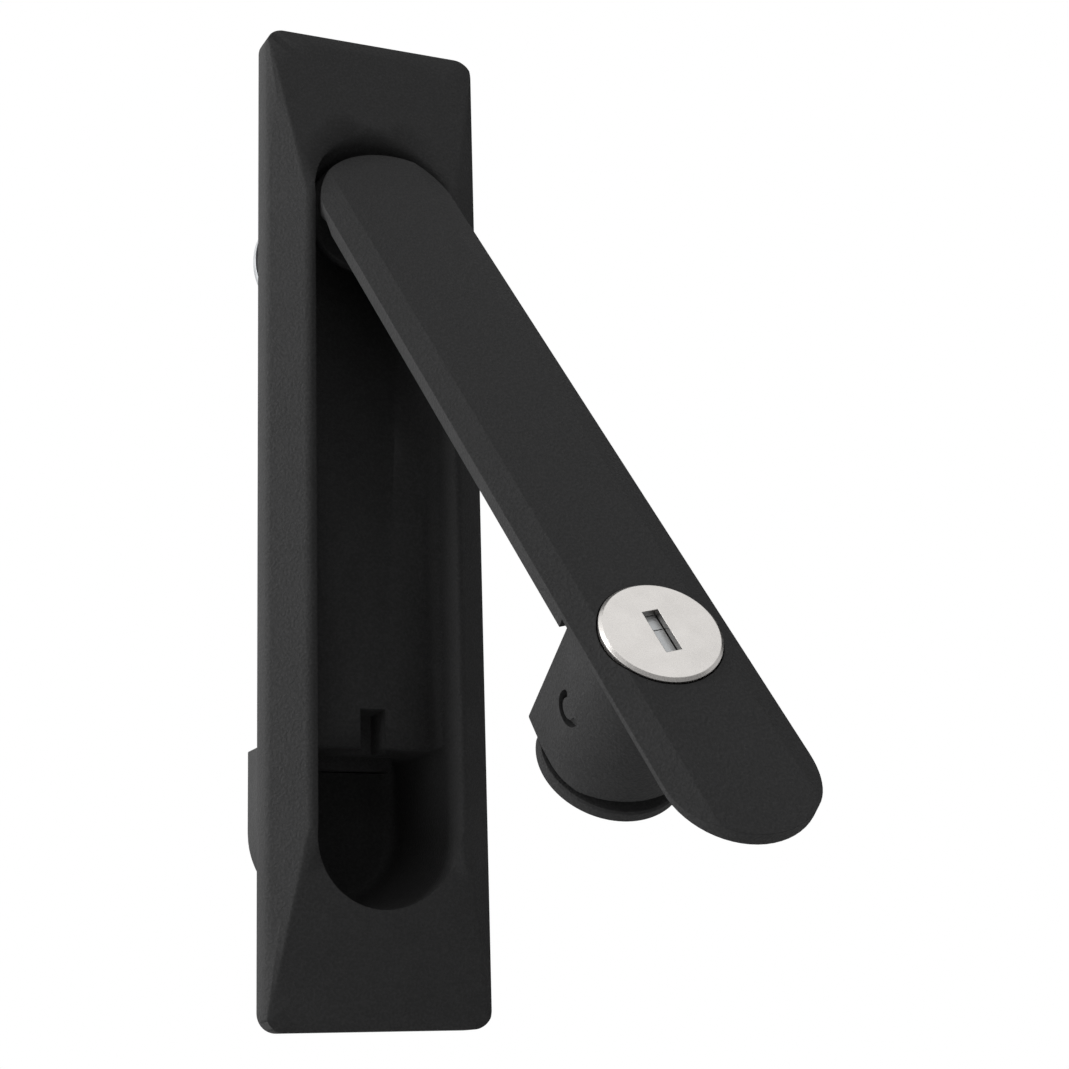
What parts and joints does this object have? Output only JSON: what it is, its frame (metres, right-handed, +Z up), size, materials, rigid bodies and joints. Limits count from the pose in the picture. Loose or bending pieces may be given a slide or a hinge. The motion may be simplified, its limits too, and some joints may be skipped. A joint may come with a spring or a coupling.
{
  "type": "paddle latch",
  "caption": "Black lift-and-turn swing-handle latch: bevelled lever with a key lock, raised from its dished escutcheon plate, with a rod cam behind.",
  "frame": {"origin": "centre of the four fixing holes, on the door face", "axes": "+Z up along the plate, +Y into the door, -Y towards the user; millimetre sizes are stated in metres"},
  "size_m": [0.0528, 0.1133, 0.16],
  "materials": {
    "black_powder_coat": "fine-textured matt black powder coat over a zinc die casting",
    "nickel_plate": "satin nickel plate",
    "zinc_plate": "bright zinc-plated steel",
    "spring_steel": "drawn spring steel",
    "brass": "turned brass",
    "bronze_bush": "sintered bronze",
    "rubber": "black nitrile rubber"
  },
  "bodies": {
    "base": {"base_housing": "black_powder_coat", "flange_gasket": "rubber", "swing_stop_pin": "spring_steel", "detent_ball": "spring_steel", "detent_spring": "spring_steel", "hub_bush": "bronze_bush", "hub_oring": "rubber"},
    "hub": {"hub_rotor": "black_powder_coat", "retaining_ring": "spring_steel", "rod_cam": "zinc_plate", "rod_pins": "zinc_plate", "cam_washer": "zinc_plate", "cam_screw": "zinc_plate", "lift_spring": "spring_steel"},
    "lever": {"handle_lever": "black_powder_coat", "pivot_pin": "zinc_plate", "lock_housing": "black_powder_coat", "housing_bolts": "zinc_plate", "lock_barrel": "brass"},
    "plug": {"lock_plug": "brass", "face_disc": "nickel_plate", "wafer_tumblers": "brass", "locking_cam": "black_powder_coat", "lock_cam_screw": "zinc_plate"},
    "upper_flap": {"upper_shutter": "spring_steel"},
    "lower_flap": {"lower_shutter": "spring_steel"}
  },
  "joints": [
    {"name": "hub_swing", "type": "hinge", "parent": "base", "child": "hub", "pos_m": [0, 0, 0.051], "axis": [0, -1, 0], "range_deg": [-13.2, 76.8]},
    {"name": "handle_lift", "type": "hinge", "parent": "hub", "child": "lever", "pos_m": [0, -0.00685, 0.051], "axis": [-0.9736, 0, -0.2284], "range_deg": [-14.9, 0], "stiffness_Nm_per_rad": 0.07, "springref_deg": 68.75},
    {"name": "cylinder_turn", "type": "hinge", "parent": "lever", "child": "plug", "pos_m": [0.01901, -0.06234, -0.03003], "axis": [-0.119, -0.8536, 0.5072], "range_deg": [0, 180]},
    {"name": "upper_shutter_flap", "type": "hinge", "parent": "plug", "child": "upper_flap", "pos_m": [0.01831, -0.0593, -0.02705], "axis": [0.9736, 0, 0.2284], "range_deg": [0, 80], "stiffness_Nm_per_rad": 0.00001, "springref_deg": -28.65},
    {"name": "lower_shutter_flap", "type": "hinge", "parent": "plug", "child": "lower_flap", "pos_m": [0.01994, -0.06367, -0.03403], "axis": [-0.9736, 0, -0.2284], "range_deg": [0, 80], "stiffness_Nm_per_rad": 0.00001, "springref_deg": -28.65}
  ]
}
